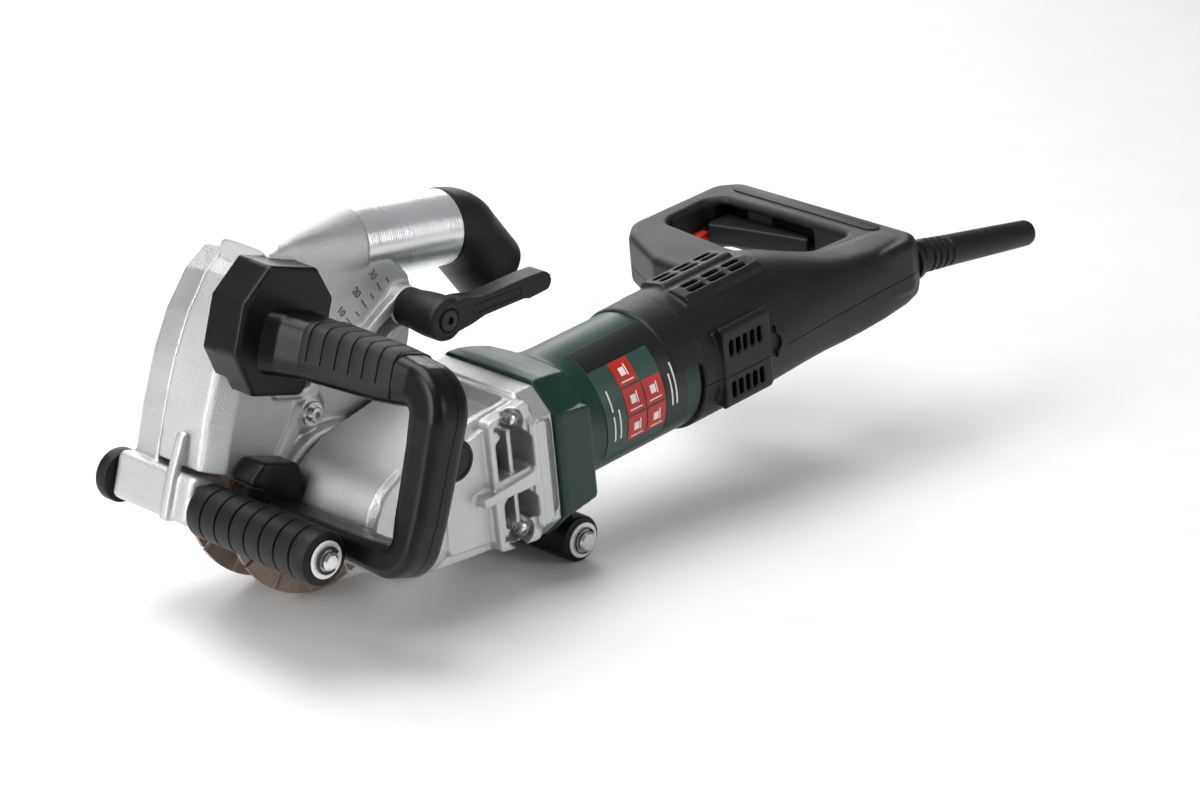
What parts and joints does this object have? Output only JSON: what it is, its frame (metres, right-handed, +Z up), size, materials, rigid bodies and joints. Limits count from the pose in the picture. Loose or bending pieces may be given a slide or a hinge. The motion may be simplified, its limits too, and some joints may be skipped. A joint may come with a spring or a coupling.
{
  "type": "wall chaser",
  "caption": "Handheld wall chaser: twin diamond discs on an angle gear head, swinging roller frame, dust tube and elbow, side D-handle, clamp lever and rear loop handle.",
  "frame": {"origin": "centre of the overall box, on the plane under the discs and the rear roller", "axes": "+X to the rear handle, +Y to the far disc side, +Z up"},
  "size_m": [0.6156, 0.222, 0.2164],
  "materials": {
    "cast_alloy": "sand-blasted casting",
    "turned_alloy": "turned, bright",
    "green_plastic": "satin dark green",
    "black_plastic": "fine moulded texture",
    "inner_plastic": "plain moulded",
    "red_plastic": "moulded",
    "soft_grip": "soft moulded grip",
    "rubber": "grooved roller rubber",
    "bright_steel": "ground",
    "dark_steel": "blackened",
    "white_zinc": "pale zinc",
    "disc_steel": "diamond disc steel",
    "lamination": "stacked sheet steel",
    "copper": "bare",
    "carbon": "pressed carbon",
    "label": "printed film"
  },
  "bodies": {
    "root": {"spindle_bearing_small": "bright_steel", "spindle_bearing_large": "bright_steel", "armature_bearing_front": "bright_steel", "armature_bearing_rear": "bright_steel", "gear_housing": "cast_alloy", "bearing_cover": "cast_alloy", "spindle_end_cap": "cast_alloy", "motor_housing": "green_plastic", "case_screws": "dark_steel", "stator": "lamination", "air_baffle": "inner_plastic", "rating_label": "label", "carbon_brushes": "carbon", "brush_holders": "copper", "rear_cover_upper": "black_plastic", "rear_cover_lower": "black_plastic", "grip_inlay": "soft_grip", "switch_block": "inner_plastic", "speed_electronics": "inner_plastic", "brush_cover": "black_plastic", "cable_collar": "black_plastic", "cable_boot": "soft_grip", "guard_housing": "cast_alloy", "dust_tube": "turned_alloy", "handle_base": "black_plastic", "handle_foot": "black_plastic", "handle_front_shell": "black_plastic", "handle_rear_shell": "black_plastic", "handle_grip": "soft_grip", "handle_screws": "dark_steel", "guard_screw": "dark_steel"},
    "spindle_group": {"near_disc": "disc_steel", "far_disc": "disc_steel", "spindle": "bright_steel", "inner_flange": "bright_steel", "disc_spacer": "bright_steel", "clamp_nut": "dark_steel", "crown_gear": "dark_steel"},
    "armature": {"pinion": "dark_steel", "armature_shaft": "bright_steel", "armature_core": "lamination", "commutator": "copper", "cooling_fan": "inner_plastic"},
    "depth_frame": {"guard_cover": "cast_alloy", "front_axle": "bright_steel", "rear_axle": "bright_steel", "axle_washers": "white_zinc", "axle_clips": "dark_steel", "clamp_bolt": "bright_steel", "clamp_washer": "white_zinc"},
    "wide_roller": {"front_wide_roller": "rubber"},
    "small_roller": {"front_small_roller": "rubber"},
    "back_roller": {"rear_roller": "rubber"},
    "lever": {"clamp_lever": "black_plastic", "lever_screw": "dark_steel"},
    "elbow": {"dust_elbow": "black_plastic"},
    "trigger_body": {"trigger": "black_plastic"},
    "lock_off": {"lock_off_button": "red_plastic"},
    "spindle_lock": {"spindle_lock_button": "black_plastic"}
  },
  "joints": [
    {"name": "spindle_spin", "type": "hinge", "parent": "root", "child": "spindle_group", "pos_m": [-0.21133, 0.032, 0.0625], "axis": [0, 1, 0], "continuous": true},
    {"name": "armature_spin", "type": "hinge", "parent": "root", "child": "armature", "pos_m": [-0.21133, -0.015, 0.0625], "axis": [0.9928, 0, 0.1201], "continuous": true},
    {"name": "depth_swing", "type": "hinge", "parent": "root", "child": "depth_frame", "pos_m": [-0.08263, 0.032, 0.0135], "axis": [0, -1, 0], "range_deg": [0, 10.6]},
    {"name": "wide_roller_spin", "type": "hinge", "parent": "depth_frame", "child": "wide_roller", "pos_m": [-0.29281, 0.032, 0.07137], "axis": [0, 1, 0], "continuous": true},
    {"name": "small_roller_spin", "type": "hinge", "parent": "depth_frame", "child": "small_roller", "pos_m": [-0.29281, 0.032, 0.07137], "axis": [0, 1, 0], "continuous": true},
    {"name": "rear_roller_spin", "type": "hinge", "parent": "depth_frame", "child": "back_roller", "pos_m": [-0.08263, 0.032, 0.0135], "axis": [0, 1, 0], "continuous": true},
    {"name": "clamp_lever_turn", "type": "hinge", "parent": "depth_frame", "child": "lever", "pos_m": [-0.15728, 0.032, 0.15569], "axis": [0, -1, 0], "range_deg": [-18, 60]},
    {"name": "dust_elbow_turn", "type": "hinge", "parent": "root", "child": "elbow", "pos_m": [-0.10713, 0.0438, 0.18285], "axis": [0.9962, 0, -0.0872], "continuous": true},
    {"name": "trigger_pull", "type": "hinge", "parent": "root", "child": "trigger_body", "pos_m": [0.17436, 0.024, 0.10917], "axis": [0.1201, 0, -0.9928], "range_deg": [0, 5.5], "stiffness_Nm_per_rad": 1.5, "springref_deg": -8.59},
    {"name": "lock_off_press", "type": "slide", "parent": "root", "child": "lock_off", "axis": [0, 1, 0], "range_m": [0, 0.0025], "stiffness_N_per_m": 300, "springref_m": -0.002},
    {"name": "spindle_lock_press", "type": "slide", "parent": "root", "child": "spindle_lock", "axis": [0, 1, 0], "range_m": [0, 0.003], "stiffness_N_per_m": 400, "springref_m": -0.002}
  ],
  "couplings": [
    {"joint": "armature_spin", "follows": "spindle_spin", "ratio": -3.7273}
  ]
}
